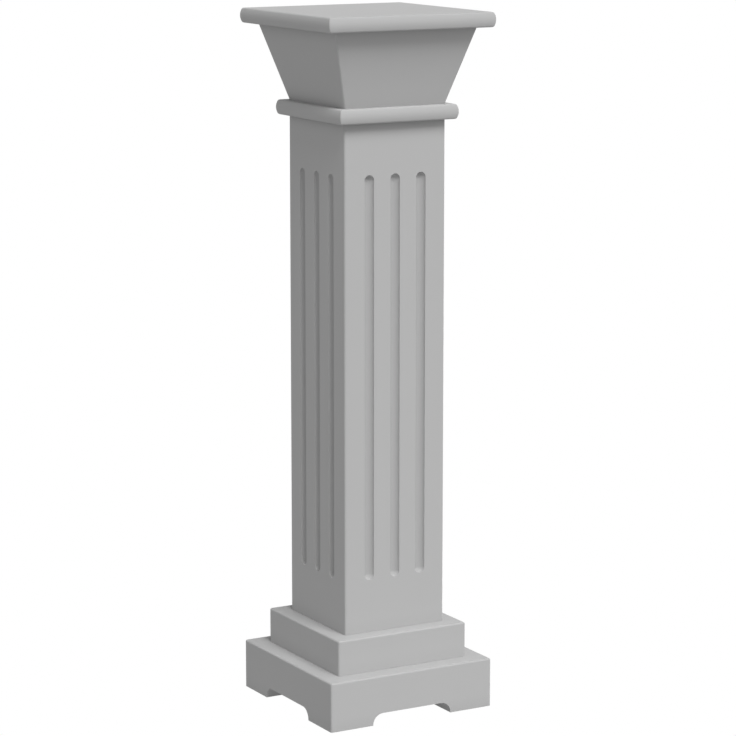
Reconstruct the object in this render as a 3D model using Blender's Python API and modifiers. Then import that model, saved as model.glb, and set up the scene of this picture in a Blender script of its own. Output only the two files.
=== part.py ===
"""Column plant stand: a square fluted shaft on a stepped foot, with a flared capital and round-edged boards."""

import math

import bmesh
import bpy

# Clearance between two pieces that lie on each other, and the easing of straight arrises
JOINT_GAP = 0.0003
ARRIS_RADIUS = 0.0024
ARRIS_SEGMENTS = 3

# Shaft, which sets the width that the other pieces project from
SHAFT_WIDTH = 0.1479
SHAFT_HEIGHT = 0.6645

# Flutes, cut by a round-nosed cutter and stopped short of both ends of the shaft
FLUTES_PER_FACE = 3
FLUTE_PITCH = 0.038
FLUTE_WIDTH = 0.014
FLUTE_DEPTH = 0.006
FLUTE_TOP_MARGIN = 0.066
FLUTE_BOTTOM_MARGIN = 0.0695
FLUTE_SIDES = 24
FLUTE_END_SEGMENTS = 6

# Step under the shaft
STEP_PROJECTION = 0.0217
STEP_HEIGHT = 0.0463

# Plinth under the step, with a channel right through it each way that leaves four feet
PLINTH_PROJECTION = 0.0247
PLINTH_HEIGHT = 0.065
FOOT_WIDTH = 0.062
CHANNEL_HEIGHT = 0.015
CHANNEL_CORNER_RADIUS = 0.0145
CHANNEL_CORNER_SEGMENTS = 8
CHANNEL_OVERRUN = 0.02

# Collar and top slab, cut from boards of one thickness with the same edge: a shallow curve, eased at both faces
BOARD_THICKNESS = 0.0192
COLLAR_PROJECTION = 0.0129
TOP_PROJECTION = 0.0174
EDGE_RADIUS = 0.021
EDGE_SEGMENTS = 6
EDGE_EASING = 0.003
EASING_SEGMENTS = 5

# Capital, as wide as the shaft at its foot and flared outwards above
CAPITAL_FLARE = 0.0295
CAPITAL_HEIGHT = 0.098

# Painted finish
PAINT_COLOUR = (0.56, 0.56, 0.56, 1.0)
PAINT_ROUGHNESS = 0.55

# Widths and levels that follow
STEP_WIDTH = SHAFT_WIDTH + 2 * STEP_PROJECTION
PLINTH_WIDTH = STEP_WIDTH + 2 * PLINTH_PROJECTION
COLLAR_WIDTH = SHAFT_WIDTH + 2 * COLLAR_PROJECTION
CAPITAL_WIDTH = SHAFT_WIDTH + 2 * CAPITAL_FLARE
TOP_WIDTH = CAPITAL_WIDTH + 2 * TOP_PROJECTION
STEP_LEVEL = PLINTH_HEIGHT + JOINT_GAP
SHAFT_LEVEL = STEP_LEVEL + STEP_HEIGHT + JOINT_GAP
COLLAR_LEVEL = SHAFT_LEVEL + SHAFT_HEIGHT + JOINT_GAP
CAPITAL_LEVEL = COLLAR_LEVEL + BOARD_THICKNESS + JOINT_GAP
TOP_LEVEL = CAPITAL_LEVEL + CAPITAL_HEIGHT + JOINT_GAP
CHANNEL_WIDTH = PLINTH_WIDTH - 2 * FOOT_WIDTH

QUARTER_TURN = math.pi / 2
EIGHTH_TURN = math.pi / 4
DIAGONAL = math.sqrt(2)
MERGE_DISTANCE = 0.00001


def clear_scene():
    """Removes the objects that the scene starts with."""
    for item in list(bpy.data.objects):
        bpy.data.objects.remove(item, do_unlink=True)


def new_collection(name):
    """An empty collection under the scene."""
    collection = bpy.data.collections.new(name)
    bpy.context.scene.collection.children.link(collection)
    return collection


def painted(item):
    """Gives a piece its own coat of the light grey paint."""
    material = bpy.data.materials.new(item.name + "_paint")
    material.use_nodes = True
    shader = material.node_tree.nodes["Principled BSDF"]
    shader.inputs["Base Color"].default_value = PAINT_COLOUR
    shader.inputs["Roughness"].default_value = PAINT_ROUGHNESS
    shader.inputs["Metallic"].default_value = 0.0
    item.data.materials.append(material)
    return item


def linked(name, mesh, collection):
    """An object that shows a mesh, in its collection."""
    item = bpy.data.objects.new(name, mesh)
    collection.objects.link(item)
    return item


def square_block(name, collection, level, height, foot_width, head_width):
    """A block with a square plan that may widen or narrow upwards, standing at its level."""
    mesh = bpy.data.meshes.new(name)
    form = bmesh.new()
    bmesh.ops.create_cone(
        form,
        cap_ends=True,
        segments=4,
        radius1=foot_width / DIAGONAL,
        radius2=head_width / DIAGONAL,
        depth=height,
    )
    form.to_mesh(mesh)
    form.free()
    block = linked(name, mesh, collection)
    block.location = (0, 0, level + height / 2)
    block.rotation_euler = (0, 0, EIGHTH_TURN)
    return block


def ease(item, radius, segments, is_eased):
    """Rounds the edges that is_eased picks out by the two ends' places in the piece's own mesh."""
    mesh = item.data
    weight = mesh.attributes.new("bevel_weight_edge", "FLOAT", "EDGE")
    for edge in mesh.edges:
        ends = [mesh.vertices[index].co for index in edge.vertices]
        weight.data[edge.index].value = 1.0 if is_eased(*ends) else 0.0
    bevel = item.modifiers.new("Eased arrises", "BEVEL")
    bevel.width = radius
    bevel.segments = segments
    bevel.limit_method = "WEIGHT"


def upright(start, end):
    """Picks out the edges that run from the foot of a piece to its head."""
    return start.z * end.z < 0


def upright_or_top(start, end):
    """Picks out the edges from foot to head and the four round the head."""
    return upright(start, end) or min(start.z, end.z) > 0


def along_top(start, end):
    """Picks out the two upper edges that run the length of a bar."""
    return min(start.z, end.z) > 0 and start.x * end.x < 0


def cut(item, cutter):
    """Takes a cutter's form out of a piece."""
    boolean = item.modifiers.new(cutter.name, "BOOLEAN")
    boolean.operation = "DIFFERENCE"
    boolean.solver = "EXACT"
    boolean.object = cutter


def as_guide(item):
    """Marks a cutter, which is no part of the object."""
    item.hide_render = True
    item.display_type = "WIRE"
    return item


def turned(name, collection, section, steps):
    """A section of (radius, height) points, listed from its top to its bottom, turned round Z."""
    mesh = bpy.data.meshes.new(name)
    form = bmesh.new()
    points = [form.verts.new((radius, 0, height)) for radius, height in section]
    for upper, lower in zip(points, points[1:]):
        form.edges.new((upper, lower))
    form.to_mesh(mesh)
    form.free()
    item = linked(name, mesh, collection)
    screw = item.modifiers.new("Turned section", "SCREW")
    screw.steps = steps
    screw.render_steps = steps
    screw.use_merge_vertices = True
    screw.merge_threshold = MERGE_DISTANCE
    screw.use_smooth_shade = False
    return item


def arc(centre, radius, start, end, segments):
    """Points of an arc in a section, with both ends."""
    angles = [start + (end - start) * step / segments for step in range(segments + 1)]
    return [(centre[0] + radius * math.cos(angle), centre[1] + radius * math.sin(angle)) for angle in angles]


def board_edge(width):
    """Section of a board's edge from its upper face to its lower: an easing, the shallow curve, an easing."""
    rise = BOARD_THICKNESS / 2
    reach = EDGE_RADIUS - EDGE_EASING
    turn_in = math.asin((rise - EDGE_EASING) / reach)
    middle = width / 2 - EDGE_RADIUS
    easing_middle = middle + reach * math.cos(turn_in)
    upper = arc((easing_middle, 2 * rise - EDGE_EASING), EDGE_EASING, QUARTER_TURN, turn_in, EASING_SEGMENTS)
    curve = arc((middle, rise), EDGE_RADIUS, turn_in, -turn_in, EDGE_SEGMENTS)
    lower = arc((easing_middle, EDGE_EASING), EDGE_EASING, -turn_in, -QUARTER_TURN, EASING_SEGMENTS)
    return upper[:-1] + curve + lower[1:]


def round_edged_board(name, collection, level, width):
    """A square board with a curved edge and mitred corners: its section turned in four steps."""
    edge = [(distance * DIAGONAL, height) for distance, height in board_edge(width)]
    section = [(0, BOARD_THICKNESS)] + edge + [(0, 0)]
    board = turned(name, collection, section, 4)
    board.location = (0, 0, level)
    board.rotation_euler = (0, 0, EIGHTH_TURN)
    return board


def flute_cutters(collection):
    """One round-ended bar for each flute, sunk into its face by the flute's depth."""
    bar_radius = ((FLUTE_WIDTH / 2) ** 2 + FLUTE_DEPTH**2) / (2 * FLUTE_DEPTH)
    overrun = bar_radius - FLUTE_WIDTH / 2
    top = SHAFT_LEVEL + SHAFT_HEIGHT - FLUTE_TOP_MARGIN + overrun
    bottom = SHAFT_LEVEL + FLUTE_BOTTOM_MARGIN - overrun
    half_run = (top - bottom) / 2 - bar_radius
    upper = arc((0, half_run), bar_radius, QUARTER_TURN, 0, FLUTE_END_SEGMENTS)
    lower = arc((0, -half_run), bar_radius, 0, -QUARTER_TURN, FLUTE_END_SEGMENTS)
    section = [(0, half_run + bar_radius)] + upper[1:] + lower[:-1] + [(0, -half_run - bar_radius)]
    face_distance = SHAFT_WIDTH / 2 + bar_radius - FLUTE_DEPTH
    cutters = []
    for face in range(4):
        turn = face * QUARTER_TURN
        for flute in range(FLUTES_PER_FACE):
            offset = (flute - (FLUTES_PER_FACE - 1) / 2) * FLUTE_PITCH
            cutter = turned(f"flute_cutter_{face + 1}_{flute + 1}", collection, section, FLUTE_SIDES)
            cutter.location = (
                face_distance * math.sin(turn) + offset * math.cos(turn),
                -face_distance * math.cos(turn) + offset * math.sin(turn),
                (top + bottom) / 2,
            )
            cutters.append(as_guide(cutter))
    return cutters


def channel_cutters(collection):
    """Two bars with rounded upper corners, which cross under the plinth and run past its faces."""
    length = PLINTH_WIDTH + 2 * CHANNEL_OVERRUN
    radius = min(CHANNEL_CORNER_RADIUS, CHANNEL_HEIGHT)
    cutters = []
    for way in range(2):
        mesh = bpy.data.meshes.new(f"channel_cutter_{way + 1}")
        form = bmesh.new()
        bmesh.ops.create_cube(form, size=1)
        bmesh.ops.scale(form, vec=(length, CHANNEL_WIDTH, 2 * CHANNEL_HEIGHT), verts=form.verts)
        form.to_mesh(mesh)
        form.free()
        cutter = linked(mesh.name, mesh, collection)
        cutter.rotation_euler = (0, 0, way * QUARTER_TURN)
        ease(cutter, radius, CHANNEL_CORNER_SEGMENTS, along_top)
        cutters.append(as_guide(cutter))
    return cutters


def build_plinth(parts, cutters):
    """The foot block, open underneath along both channels."""
    plinth = square_block("plinth", parts, 0, PLINTH_HEIGHT, PLINTH_WIDTH, PLINTH_WIDTH)
    ease(plinth, ARRIS_RADIUS, ARRIS_SEGMENTS, upright_or_top)
    for channel in channel_cutters(cutters):
        cut(plinth, channel)
    return plinth


def build_base_step(parts):
    """The block between plinth and shaft."""
    step = square_block("base_step", parts, STEP_LEVEL, STEP_HEIGHT, STEP_WIDTH, STEP_WIDTH)
    ease(step, ARRIS_RADIUS, ARRIS_SEGMENTS, upright_or_top)
    return step


def build_shaft(parts, cutters):
    """The square shaft with its stopped flutes."""
    shaft = square_block("shaft", parts, SHAFT_LEVEL, SHAFT_HEIGHT, SHAFT_WIDTH, SHAFT_WIDTH)
    ease(shaft, ARRIS_RADIUS, ARRIS_SEGMENTS, upright)
    for flute in flute_cutters(cutters):
        cut(shaft, flute)
    return shaft


def build_collar(parts):
    """The board between shaft and capital."""
    return round_edged_board("collar", parts, COLLAR_LEVEL, COLLAR_WIDTH)


def build_capital(parts):
    """The flared block under the top slab."""
    capital = square_block("capital", parts, CAPITAL_LEVEL, CAPITAL_HEIGHT, SHAFT_WIDTH, CAPITAL_WIDTH)
    ease(capital, ARRIS_RADIUS, ARRIS_SEGMENTS, upright)
    return capital


def build_top_slab(parts):
    """The board that things stand on."""
    return round_edged_board("top_slab", parts, TOP_LEVEL, TOP_WIDTH)


def main():
    """Builds the six pieces, lowest first, and paints them."""
    clear_scene()
    parts = new_collection("column_plant_stand")
    cutters = new_collection("cutters")
    pieces = [
        build_plinth(parts, cutters),
        build_base_step(parts),
        build_shaft(parts, cutters),
        build_collar(parts),
        build_capital(parts),
        build_top_slab(parts),
    ]
    for piece in pieces:
        painted(piece)


main()
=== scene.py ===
"""A painted column plant stand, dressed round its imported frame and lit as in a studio."""

import logging
import math
from collections.abc import Mapping
from dataclasses import dataclass, field
from enum import Enum

import bmesh
import bpy
from mathutils import Matrix, Vector


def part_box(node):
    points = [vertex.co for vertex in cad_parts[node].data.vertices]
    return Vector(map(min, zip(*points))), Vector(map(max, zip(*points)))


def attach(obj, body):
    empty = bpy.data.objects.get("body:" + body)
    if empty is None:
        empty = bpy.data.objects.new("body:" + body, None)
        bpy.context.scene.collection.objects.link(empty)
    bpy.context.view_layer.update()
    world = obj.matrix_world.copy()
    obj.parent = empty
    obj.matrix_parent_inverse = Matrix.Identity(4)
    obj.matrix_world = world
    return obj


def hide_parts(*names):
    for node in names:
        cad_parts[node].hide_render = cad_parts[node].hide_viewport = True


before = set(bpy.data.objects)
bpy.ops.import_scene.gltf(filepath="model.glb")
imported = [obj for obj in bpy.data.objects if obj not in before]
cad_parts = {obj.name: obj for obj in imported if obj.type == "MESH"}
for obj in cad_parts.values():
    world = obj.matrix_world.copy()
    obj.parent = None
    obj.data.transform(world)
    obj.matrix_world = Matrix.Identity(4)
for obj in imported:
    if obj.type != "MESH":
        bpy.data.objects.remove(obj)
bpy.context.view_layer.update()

BODY = "root"
FULL_TURN = math.tau
QUARTER_TURN = math.tau / 4
CORNERS = 4
HALF_STEP = 0.5
WELD_DISTANCE = 0.000002
WHITE = (1.0, 1.0, 1.0, 1.0)

Materials = Mapping[str, bpy.types.Material]
Pieces = list[bpy.types.Object]
Socket = bpy.types.NodeSocket

log = logging.getLogger("column_plant_stand")


@dataclass(frozen=True)
class Place:
    """The square space that a piece of the stand takes up, in metres.

    Attributes:
        width: Side of its square plan.
        foot: Level of its underside.
        head: Level of its top.
    """

    width: float
    foot: float
    head: float

    @classmethod
    def of(cls, node: str, let_down: float = 0.0) -> "Place":
        """Reads a place from the frame.

        Args:
            node: Name of the CAD node.
            let_down: How far the underside comes down towards the piece below.

        Returns:
            The place of that node.
        """
        low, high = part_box(node)
        return cls(width=high.x - low.x, foot=low.z - let_down, head=high.z)

    @property
    def height(self) -> float:
        """Height from underside to top."""
        return self.head - self.foot


class Kind(Enum):
    """Socket kinds that the trees' inputs have."""

    SIZE = "NodeSocketFloat"
    COUNT = "NodeSocketInt"
    COLOUR = "NodeSocketColor"
    VECTOR = "NodeSocketVector"
    GEOMETRY = "NodeSocketGeometry"
    MATERIAL = "NodeSocketMaterial"


class Wiring:
    """Adds nodes to one tree and links them, with values given where the nodes are made."""

    def __init__(self, tree: bpy.types.NodeTree) -> None:
        """Starts on an empty tree.

        Args:
            tree: The geometry or shader tree to fill.
        """
        self.tree = tree

    @classmethod
    def group(
        cls, name: str, tree_type: str, inputs: Mapping[str, Kind], outputs: Mapping[str, Kind]
    ) -> "Wiring":
        """Makes a node group with named sockets.

        Args:
            name: Name of the group.
            tree_type: Blender's name for the sort of tree.
            inputs: Socket names and kinds that go in.
            outputs: Socket names and kinds that come out.

        Returns:
            The wiring of the new group.
        """
        tree = bpy.data.node_groups.new(name, tree_type)
        for label, kind in inputs.items():
            tree.interface.new_socket(name=label, in_out="INPUT", socket_type=kind.value)
        for label, kind in outputs.items():
            tree.interface.new_socket(name=label, in_out="OUTPUT", socket_type=kind.value)
        return cls(tree)

    def add(
        self, node_type: str, inputs: Mapping[str | int, object] | None = None, **settings: object
    ) -> bpy.types.Node:
        """Adds one node.

        Args:
            node_type: Blender's name for the node.
            inputs: Values or sockets for its inputs, by name or number.
            **settings: Properties of the node itself.

        Returns:
            The node.
        """
        node = self.tree.nodes.new(node_type)
        for name, value in settings.items():
            setattr(node, name, value)
        for key, value in (inputs or {}).items():
            if isinstance(value, Socket):
                self.tree.links.new(value, node.inputs[key])
            else:
                node.inputs[key].default_value = value
        return node

    def math(self, operation: str, *values: object) -> Socket:
        """Adds a math node.

        Args:
            operation: Blender's name for the operation.
            *values: Numbers or sockets, in the node's order.

        Returns:
            The result's socket.
        """
        inputs = dict(enumerate(values))
        return self.add("ShaderNodeMath", inputs, operation=operation).outputs[0]

    def sum(self, *values: object) -> Socket:
        """Adds up any count of numbers or sockets.

        Args:
            *values: The numbers or sockets.

        Returns:
            The sum's socket.
        """
        total = values[0]
        for value in values[1:]:
            total = self.math("ADD", total, value)
        return total

    def product(self, *values: object) -> Socket:
        """Multiplies any count of numbers or sockets.

        Args:
            *values: The numbers or sockets.

        Returns:
            The product's socket.
        """
        total = values[0]
        for value in values[1:]:
            total = self.math("MULTIPLY", total, value)
        return total

    def difference(self, first: object, second: object) -> Socket:
        """Takes the second number or socket from the first."""
        return self.math("SUBTRACT", first, second)

    def half(self, value: object) -> Socket:
        """Halves a number or socket."""
        return self.product(value, 0.5)

    def vector(self, x: object, y: object, z: object) -> Socket:
        """Puts three numbers or sockets together."""
        return self.add("ShaderNodeCombineXYZ", {"X": x, "Y": y, "Z": z}).outputs[0]

    def parts(self, vector: Socket) -> bpy.types.NodeOutputs:
        """Takes a vector apart into X, Y and Z."""
        return self.add("ShaderNodeSeparateXYZ", {0: vector}).outputs

    def point(self) -> bpy.types.NodeOutputs:
        """Place of each point of the mesh, as X, Y and Z."""
        return self.parts(self.add("GeometryNodeInputPosition").outputs[0])

    def raised(self, plan: Socket, level: Socket) -> Socket:
        """Lifts a place in plan to a level."""
        inputs = {0: plan, 1: self.vector(0.0, 0.0, level)}
        return self.add("ShaderNodeVectorMath", inputs, operation="ADD").outputs[0]

    def scaled(self, vector: Socket, factor: Socket) -> Socket:
        """Makes a vector or colour larger or smaller by a factor."""
        inputs = {0: vector, "Scale": factor}
        return self.add("ShaderNodeVectorMath", inputs, operation="SCALE").outputs[0]

    def barrel(self, sides: Socket, rings: object) -> Socket:
        """Makes the unit cylinder whose points a form then moves.

        Args:
            sides: Points round it.
            rings: Rows of faces from end to end.

        Returns:
            Its mesh.
        """
        sizes = {"Vertices": sides, "Side Segments": rings, "Radius": 1.0, "Depth": 1.0}
        return self.add("GeometryNodeMeshCylinder", sizes).outputs["Mesh"]

    def moved(self, mesh: Socket, position: Socket) -> Socket:
        """Moves the points of a mesh to new places."""
        inputs = {"Geometry": mesh, "Position": position}
        return self.add("GeometryNodeSetPosition", inputs).outputs[0]

    def place_group(
        self, group: bpy.types.NodeTree, inputs: Mapping[str, object]
    ) -> bpy.types.Node:
        """Puts another group into this tree.

        Args:
            group: The group's tree.
            inputs: Values or sockets for its inputs.

        Returns:
            The group node.
        """
        in_geometry = self.tree.bl_idname == "GeometryNodeTree"
        sort = "GeometryNodeGroup" if in_geometry else "ShaderNodeGroup"
        return self.add(sort, inputs, node_tree=group)

    def close(self, outputs: Mapping[str, Socket]) -> bpy.types.NodeTree:
        """Links the group's outputs.

        Args:
            outputs: Output names and the sockets that feed them.

        Returns:
            The finished tree.
        """
        self.add("NodeGroupOutput", outputs)
        return self.tree


class Forms:
    """The Geometry Nodes trees that the pieces are made with."""

    GEOMETRY = "GeometryNodeTree"
    CHANNELS = 2

    def __init__(self) -> None:
        """Builds the trees, the shared outline first."""
        self.outline = self._rounded_outline()
        self.block_form = self._block_form()
        self.eased_block = self._eased_block()
        self.board = self._round_edged_board()
        self.fluted_shaft = self._fluted_shaft()
        self.footed_plinth = self._footed_plinth()

    def _tree(self, name: str, inputs: Mapping[str, Kind]) -> tuple[Wiring, bpy.types.Node]:
        """Starts a tree that puts out one mesh.

        Args:
            name: Name of the tree.
            inputs: Its named inputs.

        Returns:
            Its wiring and its input node.
        """
        wiring = Wiring.group(name, self.GEOMETRY, inputs, {"Mesh": Kind.GEOMETRY})
        return wiring, wiring.add("NodeGroupInput")

    def _finish(self, wiring: Wiring, mesh: Socket, material: Socket) -> bpy.types.NodeTree:
        """Ends a tree in real meshes with their material.

        Args:
            wiring: The tree's wiring.
            mesh: Its mesh or instances.
            material: The material input.

        Returns:
            The finished tree.
        """
        real = wiring.add("GeometryNodeRealizeInstances", {0: mesh}).outputs[0]
        dressed = wiring.add("GeometryNodeSetMaterial", {"Geometry": real, "Material": material})
        return wiring.close({"Mesh": dressed.outputs[0]})

    def _carve(self, wiring: Wiring, block: Socket, cutters: Socket, crossing: bool) -> Socket:
        """Cuts copies of a form out of a block.

        Args:
            wiring: The tree's wiring.
            block: Mesh that is cut.
            cutters: Instances of the form that cuts.
            crossing: Whether the cutters run through each other.

        Returns:
            The carved mesh.
        """
        real = wiring.add("GeometryNodeRealizeInstances", {0: cutters}).outputs[0]
        meshes = {"Mesh 1": block, "Mesh 2": real, "Self Intersection": crossing}
        settings = {"operation": "DIFFERENCE", "solver": "EXACT"}
        return wiring.add("GeometryNodeMeshBoolean", meshes, **settings).outputs[0]

    def _rounded_outline(self) -> bpy.types.NodeTree:
        """A rectangle with rounded corners, followed round by the points of a many-sided cylinder.

        Returns:
            The tree, whose output is each point's place in plan.
        """
        wiring = Wiring.group(
            "Rounded Outline",
            self.GEOMETRY,
            {
                "Half Width": Kind.SIZE,
                "Half Depth": Kind.SIZE,
                "Corner Place": Kind.SIZE,
                "Corner Radius": Kind.SIZE,
                "Corner Segments": Kind.COUNT,
            },
            {"Plan": Kind.VECTOR, "Side Count": Kind.COUNT},
        )
        given = wiring.add("NodeGroupInput").outputs
        points = wiring.sum(given["Corner Segments"], 1)
        sides = wiring.product(points, CORNERS)
        place = wiring.point()
        angle = wiring.math("ARCTAN2", place["Y"], place["X"])
        turns = wiring.sum(wiring.math("DIVIDE", angle, FULL_TURN), 1)
        share = wiring.math("FRACT", turns)
        step = wiring.math("MODULO", wiring.math("ROUND", wiring.product(share, sides)), sides)
        corner = wiring.math("FLOOR", wiring.math("DIVIDE", wiring.sum(step, HALF_STEP), points))
        within = wiring.difference(step, wiring.product(corner, points))
        turn = wiring.sum(corner, wiring.math("DIVIDE", within, given["Corner Segments"]))
        theta = wiring.product(turn, QUARTER_TURN)
        diagonal = wiring.product(wiring.sum(corner, HALF_STEP), QUARTER_TURN)
        plan = []
        for function, half in (("COSINE", "Half Width"), ("SINE", "Half Depth")):
            side = wiring.math("SIGN", wiring.math(function, diagonal))
            centre = wiring.product(side, wiring.difference(given[half], given["Corner Place"]))
            bend = wiring.product(given["Corner Radius"], wiring.math(function, theta))
            plan.append(wiring.sum(centre, bend))
        return wiring.close({"Plan": wiring.vector(*plan, 0.0), "Side Count": sides})

    def _block_form(self) -> bpy.types.NodeTree:
        """A square block with eased uprights and an eased head, which may widen upwards.

        Returns:
            The tree, for use in other trees.
        """
        wiring, node = self._tree(
            "Block Form",
            {
                "Foot Width": Kind.SIZE,
                "Head Width": Kind.SIZE,
                "Height": Kind.SIZE,
                "Arris Radius": Kind.SIZE,
                "Head Radius": Kind.SIZE,
                "Corner Segments": Kind.COUNT,
            },
        )
        given = node.outputs
        segments = given["Corner Segments"]
        rings = wiring.sum(segments, 1)
        barrel = wiring.barrel(wiring.product(rings, CORNERS), rings)
        place = wiring.point()
        ring = wiring.math("ROUND", wiring.product(wiring.sum(place["Z"], HALF_STEP), rings))
        is_side = wiring.math("MINIMUM", ring, 1)
        bent_rings = wiring.math("MAXIMUM", wiring.difference(ring, 1), 0)
        phi = wiring.product(wiring.math("DIVIDE", bent_rings, segments), QUARTER_TURN)
        radius = given["Head Radius"]
        inset = wiring.product(radius, wiring.difference(1, wiring.math("COSINE", phi)))
        drop = wiring.product(radius, wiring.difference(1, wiring.math("SINE", phi)))
        level = wiring.product(is_side, wiring.difference(given["Height"], drop))
        widening = wiring.difference(given["Head Width"], given["Foot Width"])
        flare = wiring.math("DIVIDE", widening, given["Height"])
        width = wiring.sum(given["Foot Width"], wiring.product(flare, level))
        half = wiring.half(width)
        plan = wiring.place_group(
            self.outline,
            {
                "Half Width": half,
                "Half Depth": half,
                "Corner Place": given["Arris Radius"],
                "Corner Radius": wiring.difference(given["Arris Radius"], inset),
                "Corner Segments": segments,
            },
        )
        shaped = wiring.moved(barrel, wiring.raised(plan.outputs["Plan"], level))
        limits = {"Geometry": shaped, "Distance": WELD_DISTANCE}
        welded = wiring.add("GeometryNodeMergeByDistance", limits)
        return wiring.close({"Mesh": welded.outputs[0]})

    def _eased_block(self) -> bpy.types.NodeTree:
        """The block form by itself, with its paint.

        Returns:
            The tree for the capital and the base step.
        """
        names = ("Foot Width", "Head Width", "Height", "Arris Radius", "Head Radius")
        inputs = {name: Kind.SIZE for name in names}
        inputs |= {"Corner Segments": Kind.COUNT, "Paint": Kind.MATERIAL}
        wiring, node = self._tree("Eased Block", inputs)
        given = node.outputs
        block = wiring.place_group(
            self.block_form, {name: given[name] for name in (*names, "Corner Segments")}
        )
        return self._finish(wiring, block.outputs[0], given["Paint"])

    def _round_edged_board(self) -> bpy.types.NodeTree:
        """A square board with mitred corners, whose edge is a shallow curve eased above and below.

        Returns:
            The tree for the top board and the collar.
        """
        wiring, node = self._tree(
            "Round-edged Board",
            {
                "Width": Kind.SIZE,
                "Thickness": Kind.SIZE,
                "Edge Radius": Kind.SIZE,
                "Edge Easing": Kind.SIZE,
                "Edge Segments": Kind.COUNT,
                "Corner Radius": Kind.SIZE,
                "Corner Segments": Kind.COUNT,
                "Paint": Kind.MATERIAL,
            },
        )
        given = node.outputs
        sides = wiring.product(wiring.sum(given["Corner Segments"], 1), CORNERS)
        barrel = wiring.barrel(sides, given["Edge Segments"])
        place = wiring.point()
        easing = given["Edge Easing"]
        rise = wiring.half(given["Thickness"])
        reach = wiring.difference(given["Edge Radius"], easing)
        sine = wiring.math("DIVIDE", wiring.difference(rise, easing), reach)
        turn_in = wiring.math("ARCSINE", sine)
        share = wiring.product(place["Z"], 2)
        slope = wiring.product(share, wiring.math("ABSOLUTE", share), QUARTER_TURN)
        least = wiring.math("MAXIMUM", slope, wiring.product(turn_in, -1))
        curve_slope = wiring.math("MINIMUM", least, turn_in)
        drawn_in = wiring.sum(
            wiring.product(reach, wiring.math("COSINE", curve_slope)),
            wiring.product(easing, wiring.math("COSINE", slope)),
        )
        inset = wiring.difference(given["Edge Radius"], drawn_in)
        half = wiring.difference(wiring.half(given["Width"]), inset)
        level = wiring.sum(
            rise,
            wiring.product(reach, wiring.math("SINE", curve_slope)),
            wiring.product(easing, wiring.math("SINE", slope)),
        )
        plan = wiring.place_group(
            self.outline,
            {
                "Half Width": half,
                "Half Depth": half,
                "Corner Place": given["Corner Radius"],
                "Corner Radius": given["Corner Radius"],
                "Corner Segments": given["Corner Segments"],
            },
        )
        shaped = wiring.moved(barrel, wiring.raised(plan.outputs["Plan"], level))
        return self._finish(wiring, shaped, given["Paint"])

    def _fluted_shaft(self) -> bpy.types.NodeTree:
        """An eased block with rows of stopped, round-ended flutes cut into its four faces.

        Returns:
            The tree for the shaft.
        """
        sizes = (
            "Width",
            "Height",
            "Arris Radius",
            "Flute Pitch",
            "Flute Width",
            "Flute Depth",
            "Top Margin",
            "Bottom Margin",
        )
        inputs = {name: Kind.SIZE for name in sizes}
        inputs |= {"Corner Segments": Kind.COUNT, "Flutes per Face": Kind.COUNT}
        inputs |= {"Cutter Sides": Kind.COUNT, "Cutter Rings": Kind.COUNT, "Paint": Kind.MATERIAL}
        wiring, node = self._tree("Fluted Shaft", inputs)
        given = node.outputs
        block = wiring.place_group(
            self.block_form,
            {
                "Foot Width": given["Width"],
                "Head Width": given["Width"],
                "Height": given["Height"],
                "Arris Radius": given["Arris Radius"],
                "Head Radius": 0.0,
                "Corner Segments": given["Corner Segments"],
            },
        )
        half_flute, depth = wiring.half(given["Flute Width"]), given["Flute Depth"]
        squares = wiring.sum(wiring.product(half_flute, half_flute), wiring.product(depth, depth))
        radius = wiring.math("DIVIDE", squares, wiring.product(depth, 2))
        top = wiring.sum(wiring.difference(given["Height"], given["Top Margin"]), radius)
        top = wiring.difference(top, half_flute)
        bottom = wiring.difference(wiring.sum(given["Bottom Margin"], half_flute), radius)
        middle = wiring.half(wiring.sum(top, bottom))
        half_run = wiring.difference(wiring.half(wiring.difference(top, bottom)), radius)
        ball = wiring.add(
            "GeometryNodeMeshUVSphere",
            {"Segments": given["Cutter Sides"], "Rings": given["Cutter Rings"], "Radius": radius},
        )
        place = wiring.point()
        stretch = wiring.product(wiring.math("SIGN", place["Z"]), half_run)
        cutter = wiring.add(
            "GeometryNodeSetPosition",
            {"Geometry": ball.outputs["Mesh"], "Offset": wiring.vector(0.0, 0.0, stretch)},
        )
        count = given["Flutes per Face"]
        spots = wiring.add("GeometryNodePoints", {"Count": wiring.product(count, CORNERS)})
        index = wiring.add("GeometryNodeInputIndex").outputs[0]
        face = wiring.math("FLOOR", wiring.math("DIVIDE", wiring.sum(index, HALF_STEP), count))
        in_row = wiring.difference(index, wiring.product(face, count))
        from_middle = wiring.difference(in_row, wiring.half(wiring.difference(count, 1)))
        aside = wiring.product(from_middle, given["Flute Pitch"])
        out = wiring.difference(wiring.sum(wiring.half(given["Width"]), radius), depth)
        turn = wiring.product(face, QUARTER_TURN)
        sine, cosine = wiring.math("SINE", turn), wiring.math("COSINE", turn)
        spot = wiring.vector(
            wiring.sum(wiring.product(out, sine), wiring.product(aside, cosine)),
            wiring.difference(wiring.product(aside, sine), wiring.product(out, cosine)),
            middle,
        )
        cutters = wiring.add(
            "GeometryNodeInstanceOnPoints",
            {"Points": wiring.moved(spots.outputs[0], spot), "Instance": cutter.outputs[0]},
        )
        carved = self._carve(wiring, block.outputs[0], cutters.outputs[0], crossing=False)
        return self._finish(wiring, carved, given["Paint"])

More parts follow.
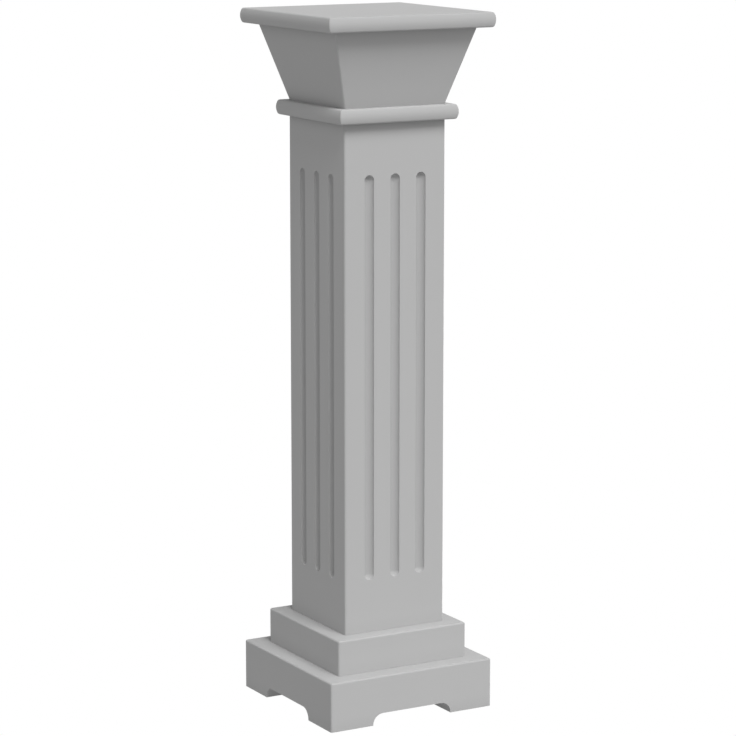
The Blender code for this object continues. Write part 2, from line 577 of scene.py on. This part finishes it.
    def _footed_plinth(self) -> bpy.types.NodeTree:
        """An eased block with a coved channel through it each way, which leaves four feet.

        Returns:
            The tree for the plinth.
        """
        sizes = (
            "Width",
            "Height",
            "Arris Radius",
            "Head Radius",
            "Channel Width",
            "Channel Height",
            "Cove Radius",
            "Overrun",
        )
        inputs = {name: Kind.SIZE for name in sizes}
        inputs |= {"Corner Segments": Kind.COUNT, "Cove Segments": Kind.COUNT}
        inputs |= {"Paint": Kind.MATERIAL}
        wiring, node = self._tree("Footed Plinth", inputs)
        given = node.outputs
        block = wiring.place_group(
            self.block_form,
            {
                "Foot Width": given["Width"],
                "Head Width": given["Width"],
                "Height": given["Height"],
                "Arris Radius": given["Arris Radius"],
                "Head Radius": given["Head Radius"],
                "Corner Segments": given["Corner Segments"],
            },
        )
        plan = wiring.place_group(
            self.outline,
            {
                "Half Width": given["Channel Height"],
                "Half Depth": wiring.half(given["Channel Width"]),
                "Corner Place": given["Cove Radius"],
                "Corner Radius": given["Cove Radius"],
                "Corner Segments": given["Cove Segments"],
            },
        )
        bar = wiring.barrel(plan.outputs["Side Count"], 1)
        place = wiring.point()
        section = wiring.parts(plan.outputs["Plan"])
        length = wiring.sum(given["Width"], wiring.product(given["Overrun"], 2))
        lying = wiring.vector(wiring.product(place["Z"], length), section["Y"], section["X"])
        outward = wiring.add("GeometryNodeFlipFaces", {"Mesh": wiring.moved(bar, lying)})
        spots = wiring.add("GeometryNodePoints", {"Count": self.CHANNELS})
        index = wiring.add("GeometryNodeInputIndex").outputs[0]
        turn = wiring.vector(0.0, 0.0, wiring.product(index, QUARTER_TURN))
        crossing = wiring.add(
            "GeometryNodeInstanceOnPoints",
            {"Points": spots.outputs[0], "Instance": outward.outputs[0], "Rotation": turn},
        )
        carved = self._carve(wiring, block.outputs[0], crossing.outputs[0], crossing=True)
        return self._finish(wiring, carved, given["Paint"])


@dataclass(frozen=True)
class Softening:
    """How the sharp edges that are left on a piece are softened by its paint.

    Attributes:
        radius: Radius of the softened edges, or 0 for none.
        segments: Faces across a softened edge.
        sharp_angle: Edges that bend more than this, in degrees, count as sharp.
        flatness: How much more large faces count than small ones in the shading, up to 100.
    """

    radius: float = 0.0004
    segments: int = 2
    sharp_angle: float = 38.0
    flatness: int = 100


SHADING_ONLY = Softening(radius=0.0)


class Workshop:
    """Turns a tree and its sizes into a piece of the stand."""

    def __init__(self) -> None:
        """Sets up the trees."""
        self.forms = Forms()

    def shape(
        self, name: str, tree: bpy.types.NodeTree, sizes: Mapping[str, object], level: float
    ) -> bpy.types.Object:
        """Makes a piece's plain mesh from a tree.

        Args:
            name: Name of the piece.
            tree: The Geometry Nodes tree.
            sizes: Values for the tree's named inputs.
            level: Height of the piece's underside.

        Returns:
            The piece, its object at the origin.
        """
        piece = bpy.data.objects.new(name, bpy.data.meshes.new(name))
        bpy.context.scene.collection.objects.link(piece)
        modifier = piece.modifiers.new("Form", "NODES")
        modifier.node_group = tree
        for socket in tree.interface.items_tree:
            if socket.in_out == "INPUT":
                modifier[socket.identifier] = sizes[socket.name]
        self.settle(piece)
        piece.data.transform(Matrix.Translation((0, 0, level)))
        return piece

    def soften(self, piece: bpy.types.Object, softening: Softening) -> None:
        """Softens a piece's sharp edges and shades it smooth, with its flats kept flat.

        Args:
            piece: The piece to finish.
            softening: Radius and angle of the softening.
        """
        angle = math.radians(softening.sharp_angle)
        if softening.radius > 0:
            bevel = piece.modifiers.new("Softened edges", "BEVEL")
            bevel.width = softening.radius
            bevel.segments = softening.segments
            bevel.limit_method = "ANGLE"
            bevel.angle_limit = angle
            self.settle(piece)
        piece.data.shade_smooth()
        piece.data.set_sharp_from_angle(angle=angle)
        weighted = piece.modifiers.new("Flat faces", "WEIGHTED_NORMAL")
        weighted.mode = "FACE_AREA"
        weighted.weight = softening.flatness
        weighted.keep_sharp = True
        self.settle(piece)

    def settle(self, piece: bpy.types.Object) -> None:
        """Replaces a piece's mesh by what its modifiers make of it, and takes them off.

        Args:
            piece: The piece to settle.
        """
        bpy.context.view_layer.update()
        depsgraph = bpy.context.evaluated_depsgraph_get()
        evaluated = piece.evaluated_get(depsgraph)
        mesh = bpy.data.meshes.new_from_object(
            evaluated, preserve_all_data_layers=True, depsgraph=depsgraph
        )
        piece.modifiers.clear()
        before = piece.data
        piece.data = mesh
        bpy.data.meshes.remove(before)
        mesh.name = piece.name

    def hand_over(self, piece: bpy.types.Object, node: str) -> None:
        """Lets a piece stand for its CAD node.

        Args:
            piece: The finished piece.
            node: The node that it replaces.
        """
        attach(piece, BODY)
        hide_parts(node)
        log.info("%s: %d faces, stands for %s", piece.name, len(piece.data.polygons), node)


@dataclass(frozen=True)
class Grain:
    """How fine a noise is.

    Attributes:
        detail: Levels of finer noise in it.
        roughness: Weight of each finer level.
    """

    detail: float
    roughness: float


class PaintGroups:
    """Shader node groups that the paints share."""

    CLOUDS = Grain(detail=3.0, roughness=0.55)
    PEEL = Grain(detail=1.5, roughness=0.5)
    STROKES = Grain(detail=2.0, roughness=0.6)
    STROKE_SQUEEZE = (1.0, 1.0, 0.04)    # the strokes run upright, 25 times as long as wide
    PAINTED_SHADE_SAMPLES = 8

    def __init__(self) -> None:
        """Builds the groups."""
        self.film = self._film()
        self.painted_crease_shade = self._painted_crease_shade_group()

    def _noise(self, wiring: Wiring, place: Socket, size: Socket, grain: Grain) -> Socket:
        """Noise from 0 to 1 over the surface.

        Args:
            wiring: The group's wiring.
            place: Where the noise is read.
            size: Size of its spots, in metres.
            grain: How fine it is.

        Returns:
            The noise's socket.
        """
        inputs = {"Vector": place, "Scale": wiring.math("DIVIDE", 1, size)}
        inputs |= {"Detail": grain.detail, "Roughness": grain.roughness}
        return wiring.add("ShaderNodeTexNoise", inputs).outputs[0]

    def _swing(self, wiring: Wiring, noise: Socket) -> Socket:
        """Noise from -1 to 1, made from noise between 0 and 1."""
        return wiring.product(wiring.difference(noise, 0.5), 2)

    def _film(self) -> bpy.types.NodeTree:
        """Sprayed and rolled paint: a soft mottle, fine orange peel and faint upright strokes.

        Returns:
            The group, with colour, roughness and height over the surface.
        """
        wiring = Wiring.group(
            "Paint Film",
            "ShaderNodeTree",
            {
                "Tone": Kind.COLOUR,
                "Mottle": Kind.SIZE,
                "Mottle Size": Kind.SIZE,
                "Peel Size": Kind.SIZE,
                "Stroke Width": Kind.SIZE,
                "Stroke Share": Kind.SIZE,
                "Roughness": Kind.SIZE,
                "Roughness Spread": Kind.SIZE,
            },
            {"Colour": Kind.COLOUR, "Roughness": Kind.SIZE, "Height": Kind.SIZE},
        )
        given = wiring.add("NodeGroupInput").outputs
        place = wiring.add("ShaderNodeTexCoord").outputs["Object"]
        clouds = self._noise(wiring, place, given["Mottle Size"], self.CLOUDS)
        shade = wiring.sum(1, wiring.product(self._swing(wiring, clouds), given["Mottle"]))
        peel = self._noise(wiring, place, given["Peel Size"], self.PEEL)
        squeeze = {"Vector": place, "Scale": self.STROKE_SQUEEZE}
        drawn_out = wiring.add("ShaderNodeMapping", squeeze).outputs[0]
        strokes = self._noise(wiring, drawn_out, given["Stroke Width"], self.STROKES)
        height = wiring.sum(peel, wiring.product(strokes, given["Stroke Share"]))
        spread = wiring.product(self._swing(wiring, strokes), given["Roughness Spread"])
        return wiring.close(
            {
                "Colour": wiring.scaled(given["Tone"], shade),
                "Roughness": wiring.sum(given["Roughness"], spread),
                "Height": height,
            }
        )

    def _painted_crease_shade_group(self) -> bpy.types.NodeTree:
        """Painted shade in inner corners: the tone is darkened where ambient occlusion finds the
        surface closed in.

        Returns:
            The group, with painted shade darkening the tone in the corners.
        """
        wiring = Wiring.group(
            "Painted Crease Shade",
            "ShaderNodeTree",
            {"Colour": Kind.COLOUR, "Reach": Kind.SIZE, "Depth": Kind.SIZE},
            {"Colour": Kind.COLOUR},
        )
        given = wiring.add("NodeGroupInput").outputs
        reach = {"Distance": given["Reach"]}
        # Painted shade: ambient occlusion darkens the base colour in inner corners and under
        # overhangs.
        nearness = wiring.add("ShaderNodeAmbientOcclusion", reach, samples=self.PAINTED_SHADE_SAMPLES)
        closed = wiring.difference(1, nearness.outputs["AO"])
        shade = wiring.difference(1, wiring.product(closed, given["Depth"]))
        return wiring.close({"Colour": wiring.scaled(given["Colour"], shade)})


@dataclass(frozen=True)
class Paint:
    """A coat of the light grey paint.

    Attributes:
        name: Name of the coat.
        tone: Linear grey of the dry paint.
        roughness: Mean roughness.
        roughness_spread: How far the strokes move the roughness.
        diffuse_roughness: How chalky the paint is, from 0 to 1.
        shine: Strength of the mirrored light, where 0.5 is that of common varnish.
        mottle: How far the tone swings either way, as a share.
        mottle_size: Size of the mottle, in metres.
        peel_size: Size of the orange peel, in metres.
        peel_height: Height of the orange peel, in metres.
        stroke_width: Width of the upright strokes, in metres.
        stroke_share: Height of the strokes as a share of the peel's.
        painted_shade_reach: How far the painted shade in inner corners reaches, in metres.
        painted_shade_depth: How much darker the painted shade makes a fully closed corner, as a
            share.
    """

    name: str
    tone: float = 0.53
    roughness: float = 0.6
    roughness_spread: float = 0.05
    diffuse_roughness: float = 0.25
    shine: float = 0.12
    mottle: float = 0.012
    mottle_size: float = 0.09
    peel_size: float = 0.0022
    peel_height: float = 0.000018
    stroke_width: float = 0.003
    stroke_share: float = 0.4
    painted_shade_reach: float = 0.02
    painted_shade_depth: float = 0.12

    def material(self, groups: PaintGroups) -> bpy.types.Material:
        """Makes the coat's material.

        Args:
            groups: The shared shader groups.

        Returns:
            The material.
        """
        material = bpy.data.materials.new(self.name)
        material.use_nodes = True
        wiring = Wiring(material.node_tree)
        film = wiring.place_group(
            groups.film,
            {
                "Tone": (self.tone, self.tone, self.tone, 1.0),
                "Mottle": self.mottle,
                "Mottle Size": self.mottle_size,
                "Peel Size": self.peel_size,
                "Stroke Width": self.stroke_width,
                "Stroke Share": self.stroke_share,
                "Roughness": self.roughness,
                "Roughness Spread": self.roughness_spread,
            },
        )
        # Painted shade: the tone is darkened in inner corners, as ambient occlusion finds them.
        painted_crease_shade = wiring.place_group(
            groups.painted_crease_shade,
            {
                "Colour": film.outputs["Colour"],
                "Reach": self.painted_shade_reach,
                "Depth": self.painted_shade_depth,
            },
        )
        relief = {"Distance": self.peel_height, "Height": film.outputs["Height"]}
        bump = wiring.add("ShaderNodeBump", {"Strength": 1.0, **relief})
        shader = material.node_tree.nodes["Principled BSDF"]
        shader.inputs["Specular IOR Level"].default_value = self.shine
        shader.inputs["Diffuse Roughness"].default_value = self.diffuse_roughness
        links = material.node_tree.links
        links.new(painted_crease_shade.outputs["Colour"], shader.inputs["Base Color"])
        links.new(film.outputs["Roughness"], shader.inputs["Roughness"])
        links.new(bump.outputs[0], shader.inputs["Normal"])
        return material


@dataclass(frozen=True)
class Coats:
    """The coats that the stand's pieces wear."""

    face: Paint = field(default_factory=lambda: Paint("face_paint"))
    board: Paint = field(
        default_factory=lambda: Paint(
            "board_paint", roughness=0.55, peel_size=0.0026, stroke_share=0.15
        )
    )
    base: Paint = field(default_factory=lambda: Paint("base_paint", mottle=0.015, stroke_share=0.1))


@dataclass
class Head:
    """The top board, the flared capital and the collar.

    Attributes:
        let_down: How far each piece reaches down over the joint below it.
        edge_radius: Radius of the shallow curve of both boards' edges.
        edge_easing: Radius of the easing above and below that curve.
        edge_segments: Faces across an edge.
        corner_radius: Plan radius of the boards' mitred corners.
        corner_segments: Faces round a board's corner or a capital's arris.
        arris_radius: Easing of the capital's uprights.
    """

    let_down: float = 0.0002
    edge_radius: float = 0.021
    edge_easing: float = 0.003
    edge_segments: int = 32
    corner_radius: float = 0.0012
    corner_segments: int = 6
    arris_radius: float = 0.0024

    def board(
        self, shop: Workshop, name: str, node: str, paint: bpy.types.Material
    ) -> bpy.types.Object:
        """Makes one of the two round-edged boards.

        Args:
            shop: The workshop.
            name: Name of the piece.
            node: Node that it stands for.
            paint: Its material.

        Returns:
            The board.
        """
        place = Place.of(node, self.let_down)
        sizes = {
            "Width": place.width,
            "Thickness": place.height,
            "Edge Radius": self.edge_radius,
            "Edge Easing": self.edge_easing,
            "Edge Segments": self.edge_segments,
            "Corner Radius": self.corner_radius,
            "Corner Segments": self.corner_segments,
            "Paint": paint,
        }
        board = shop.shape(name, shop.forms.board, sizes, place.foot)
        shop.soften(board, SHADING_ONLY)
        shop.hand_over(board, node)
        return board

    def capital(self, shop: Workshop, paint: bpy.types.Material) -> bpy.types.Object:
        """Makes the flared block, as wide at its foot as the shaft.

        Args:
            shop: The workshop.
            paint: Its material.

        Returns:
            The capital.
        """
        place = Place.of("capital", self.let_down)
        sizes = {
            "Foot Width": Place.of("shaft").width,
            "Head Width": place.width,
            "Height": place.height,
            "Arris Radius": self.arris_radius,
            "Head Radius": 0.0,
            "Corner Segments": self.corner_segments,
            "Paint": paint,
        }
        capital = shop.shape("flared_capital", shop.forms.eased_block, sizes, place.foot)
        shop.soften(capital, SHADING_ONLY)
        shop.hand_over(capital, "capital")
        return capital

    def build(self, shop: Workshop, coats: Materials) -> Pieces:
        """Makes the three pieces of the head.

        Args:
            shop: The workshop.
            coats: Materials by coat.

        Returns:
            The pieces, top first.
        """
        return [
            self.board(shop, "top_board", "top_slab", coats["board"]),
            self.capital(shop, coats["face"]),
            self.board(shop, "collar_board", "collar", coats["board"]),
        ]


@dataclass
class Shaft:
    """The square shaft with its stopped flutes.

    Attributes:
        let_down: How far it reaches down over the joint below it.
        arris_radius: Easing of the four uprights.
        corner_segments: Faces round an upright's easing.
        flutes_per_face: Flutes in a row.
        flute_pitch: Spacing of the flutes.
        flute_width: Width of a flute at the face.
        flute_depth: Depth of a flute.
        top_margin: From the shaft's head to the flutes' upper ends.
        bottom_margin: From the shaft's foot to the flutes' lower ends.
        cutter_sides: Faces round the cutter that makes a flute.
        cutter_rings: Rings over the cutter's two round ends, an odd number.
    """

    let_down: float = 0.0002
    arris_radius: float = 0.0024
    corner_segments: int = 6
    flutes_per_face: int = 3
    flute_pitch: float = 0.038
    flute_width: float = 0.014
    flute_depth: float = 0.006
    top_margin: float = 0.066
    bottom_margin: float = 0.0695
    cutter_sides: int = 64
    cutter_rings: int = 33

    def build(self, shop: Workshop, coats: Materials) -> Pieces:
        """Makes the shaft.

        Args:
            shop: The workshop.
            coats: Materials by coat.

        Returns:
            The shaft, by itself in a list.
        """
        place = Place.of("shaft", self.let_down)
        sizes = {
            "Width": place.width,
            "Height": place.height,
            "Arris Radius": self.arris_radius,
            "Flute Pitch": self.flute_pitch,
            "Flute Width": self.flute_width,
            "Flute Depth": self.flute_depth,
            "Top Margin": self.top_margin,
            "Bottom Margin": self.bottom_margin + self.let_down,
            "Corner Segments": self.corner_segments,
            "Flutes per Face": self.flutes_per_face,
            "Cutter Sides": self.cutter_sides,
            "Cutter Rings": self.cutter_rings,
            "Paint": coats["face"],
        }
        shaft = shop.shape("fluted_shaft", shop.forms.fluted_shaft, sizes, place.foot)
        shop.soften(shaft, Softening())
        shop.hand_over(shaft, "shaft")
        return [shaft]


@dataclass
class Base:
    """The step under the shaft and the plinth with its four feet.

    Attributes:
        let_down: How far the step reaches down over the joint below it.
        arris_radius: Easing of uprights and heads.
        corner_segments: Faces round an easing.
        foot_width: Side of a foot.
        channel_height: Height of the two channels between the feet.
        cove_radius: Radius of the channels' upper corners.
        cove_segments: Faces round a cove.
        overrun: How far a channel's cutter runs past the plinth.
        softening: How the plinth's sharp edges are softened.
    """

    let_down: float = 0.0002
    arris_radius: float = 0.0024
    corner_segments: int = 6
    foot_width: float = 0.062
    channel_height: float = 0.015
    cove_radius: float = 0.0145
    cove_segments: int = 16
    overrun: float = 0.02
    softening: Softening = Softening(radius=0.0006)

    def step(self, shop: Workshop, paint: bpy.types.Material) -> bpy.types.Object:
        """Makes the step.

        Args:
            shop: The workshop.
            paint: Its material.

        Returns:
            The step.
        """
        place = Place.of("base_step", self.let_down)
        sizes = {
            "Foot Width": place.width,
            "Head Width": place.width,
            "Height": place.height,
            "Arris Radius": self.arris_radius,
            "Head Radius": self.arris_radius,
            "Corner Segments": self.corner_segments,
            "Paint": paint,
        }
        step = shop.shape("stepped_base", shop.forms.eased_block, sizes, place.foot)
        shop.soften(step, SHADING_ONLY)
        shop.hand_over(step, "base_step")
        return step

    def plinth(self, shop: Workshop, paint: bpy.types.Material) -> bpy.types.Object:
        """Makes the plinth.

        Args:
            shop: The workshop.
            paint: Its material.

        Returns:
            The plinth.
        """
        place = Place.of("plinth")
        sizes = {
            "Width": place.width,
            "Height": place.height,
            "Arris Radius": self.arris_radius,
            "Head Radius": self.arris_radius,
            "Channel Width": place.width - 2 * self.foot_width,
            "Channel Height": self.channel_height,
            "Cove Radius": self.cove_radius,
            "Overrun": self.overrun,
            "Corner Segments": self.corner_segments,
            "Cove Segments": self.cove_segments,
            "Paint": paint,
        }
        plinth = shop.shape("footed_plinth", shop.forms.footed_plinth, sizes, place.foot)
        shop.soften(plinth, self.softening)
        shop.hand_over(plinth, "plinth")
        return plinth

    def build(self, shop: Workshop, coats: Materials) -> Pieces:
        """Makes the two pieces of the base.

        Args:
            shop: The workshop.
            coats: Materials by coat.

        Returns:
            The pieces, upper first.
        """
        return [self.step(shop, coats["base"]), self.plinth(shop, coats["base"])]


@dataclass(frozen=True)
class Lamp:
    """A large, soft studio lamp far from the stand.

    Attributes:
        name: Name of the lamp.
        azimuth: Bearing of the lamp, from the stand's front (-Y) towards +X, in degrees.
        elevation: Height of the lamp above the horizon, in degrees.
        strength: Strength of the lamp.
        angle: How wide the lamp looks from the stand, in degrees.
    """

    name: str
    azimuth: float
    elevation: float
    strength: float
    angle: float

    def hang(self) -> None:
        """Adds the lamp to the scene, turned towards the stand."""
        light = bpy.data.lights.new(self.name, "SUN")
        light.energy = self.strength
        light.angle = math.radians(self.angle)
        holder = bpy.data.objects.new(self.name, light)
        bpy.context.scene.collection.objects.link(holder)
        azimuth, elevation = math.radians(self.azimuth), math.radians(self.elevation)
        towards_lamp = Vector(
            (
                math.sin(azimuth) * math.cos(elevation),
                -math.cos(azimuth) * math.cos(elevation),
                math.sin(elevation),
            )
        )
        holder.rotation_euler = towards_lamp.to_track_quat("Z", "Y").to_euler()


@dataclass
class Studio:
    """A pale floor that runs out of sight, bright walls all round and two soft lamps.

    Attributes:
        floor_reach: Half the side of the floor.
        floor_light: Brightness of the light that comes back from the floor.
        horizon_light: Brightness near the horizon.
        wall_light: Brightness of the walls above it.
        ceiling_light: Brightness overhead.
        wall_rise: Heights between which the walls take over, as the upward part of a direction.
        wall_fall: Heights between which they give way to the ceiling.
        lamps: The key lamp, and a weaker lamp beside the stand.
    """

    floor_reach: float = 60.0
    floor_light: float = 0.375
    horizon_light: float = 0.62
    wall_light: float = 0.45
    ceiling_light: float = 0.0
    wall_rise: tuple[float, float] = (0.27, 0.42)
    wall_fall: tuple[float, float] = (0.70, 0.84)
    lamps: tuple[Lamp, ...] = (
        Lamp("key_lamp", azimuth=0.0, elevation=54.0, strength=2.25, angle=30.0),
        Lamp("side_lamp", azimuth=70.0, elevation=25.0, strength=0.44, angle=25.0),
    )

    def _white_to_camera(self, wiring: Wiring, other: object) -> Socket:
        """Strength that is white for the camera and another brightness for every other ray.

        Args:
            wiring: Tree of the floor or the world.
            other: Brightness for the other rays, a number or a socket.

        Returns:
            The strength's socket.
        """
        to_camera = wiring.add("ShaderNodeLightPath").outputs["Is Camera Ray"]
        return wiring.sum(other, wiring.product(to_camera, wiring.difference(1.0, other)))

    def _between(self, wiring: Wiring, height: Socket, ends: tuple[float, float]) -> Socket:
        """Share that grows softly from 0 to 1 between two heights.

        Args:
            wiring: Tree of the world.
            height: The upward part of a direction.
            ends: The two heights.

        Returns:
            The share's socket.
        """
        inputs = {"Value": height, "From Min": ends[0], "From Max": ends[1]}
        node = wiring.add("ShaderNodeMapRange", inputs, interpolation_type="SMOOTHSTEP")
        return node.outputs[0]

    def floor(self) -> bpy.types.Object:
        """Lays the floor.

        Returns:
            The floor, which is no part of the stand.
        """
        mesh = bpy.data.meshes.new("studio_floor")
        sheet = bmesh.new()
        bmesh.ops.create_grid(sheet, x_segments=1, y_segments=1, size=self.floor_reach)
        sheet.to_mesh(mesh)
        sheet.free()
        floor = bpy.data.objects.new("studio_floor", mesh)
        bpy.context.scene.collection.objects.link(floor)
        return floor

    def floor_material(self) -> bpy.types.Material:
        """Makes the floor's even white surface.

        Returns:
            The material.
        """
        material = bpy.data.materials.new("studio_floor_white")
        material.use_nodes = True
        material.node_tree.nodes.clear()
        wiring = Wiring(material.node_tree)
        strength = self._white_to_camera(wiring, self.floor_light)
        glow = wiring.add("ShaderNodeEmission", {"Color": WHITE, "Strength": strength})
        wiring.add("ShaderNodeOutputMaterial", {"Surface": glow.outputs[0]})
        return material

    def world(self) -> None:
        """Lights the stand from the bright walls round it, before a white backdrop."""
        world = bpy.data.worlds.new("studio_light")
        world.use_nodes = True
        wiring = Wiring(world.node_tree)
        direction = wiring.add("ShaderNodeTexCoord").outputs["Generated"]
        height = wiring.parts(direction)["Z"]
        band = wiring.product(
            self._between(wiring, height, self.wall_rise), self.wall_light - self.horizon_light
        )
        overhead = wiring.product(
            self._between(wiring, height, self.wall_fall), self.ceiling_light - self.wall_light
        )
        strength = self._white_to_camera(wiring, wiring.sum(self.horizon_light, band, overhead))
        background = world.node_tree.nodes["Background"]
        background.inputs["Color"].default_value = WHITE
        world.node_tree.links.new(strength, background.inputs["Strength"])
        bpy.context.scene.world = world

    def build(self) -> None:
        """Sets up floor, light and colour handling."""
        floor = self.floor()
        floor.data.materials.append(self.floor_material())
        self.world()
        for lamp in self.lamps:
            lamp.hang()
        bpy.context.scene.view_settings.view_transform = "Standard"
        log.info("studio ready")


@dataclass
class PhotoCamera:
    """The camera at the photograph's viewing angle.

    Attributes:
        sensor: Width of the sensor, in millimetres.
        lens: Focal length, in millimetres.
        place: Where the camera stands, in metres.
        bearing: Direction it looks in, from +Y towards +X, in degrees.
        tilt: How far it looks down, in degrees.
    """

    sensor: float = 36.0
    lens: float = 142.54
    place: tuple[float, float, float] = (-1.8525, -3.2685, 1.1484)
    bearing: float = 29.571
    tilt: float = 10.585

    def build(self) -> None:
        """Sets up the scene's camera."""
        camera = bpy.data.cameras.new("photo_camera")
        camera.sensor_width = self.sensor
        camera.lens = self.lens
        holder = bpy.data.objects.new("photo_camera", camera)
        bpy.context.scene.collection.objects.link(holder)
        holder.location = self.place
        bearing, tilt = math.radians(self.bearing), math.radians(self.tilt)
        holder.rotation_euler = (QUARTER_TURN - tilt, 0.0, -bearing)
        bpy.context.scene.camera = holder


def main() -> None:
    """Builds the stand from the top down, then the studio round it."""
    logging.basicConfig(level=logging.INFO, format="%(name)s: %(message)s")
    groups = PaintGroups()
    coats = Coats()
    materials = {
        "face": coats.face.material(groups),
        "board": coats.board.material(groups),
        "base": coats.base.material(groups),
    }
    shop = Workshop()
    for part in (Head(), Shaft(), Base()):
        for piece in part.build(shop, materials):
            log.info("%s is in place", piece.name)
    Studio().build()
    PhotoCamera().build()


if __name__ == "__main__":
    main()
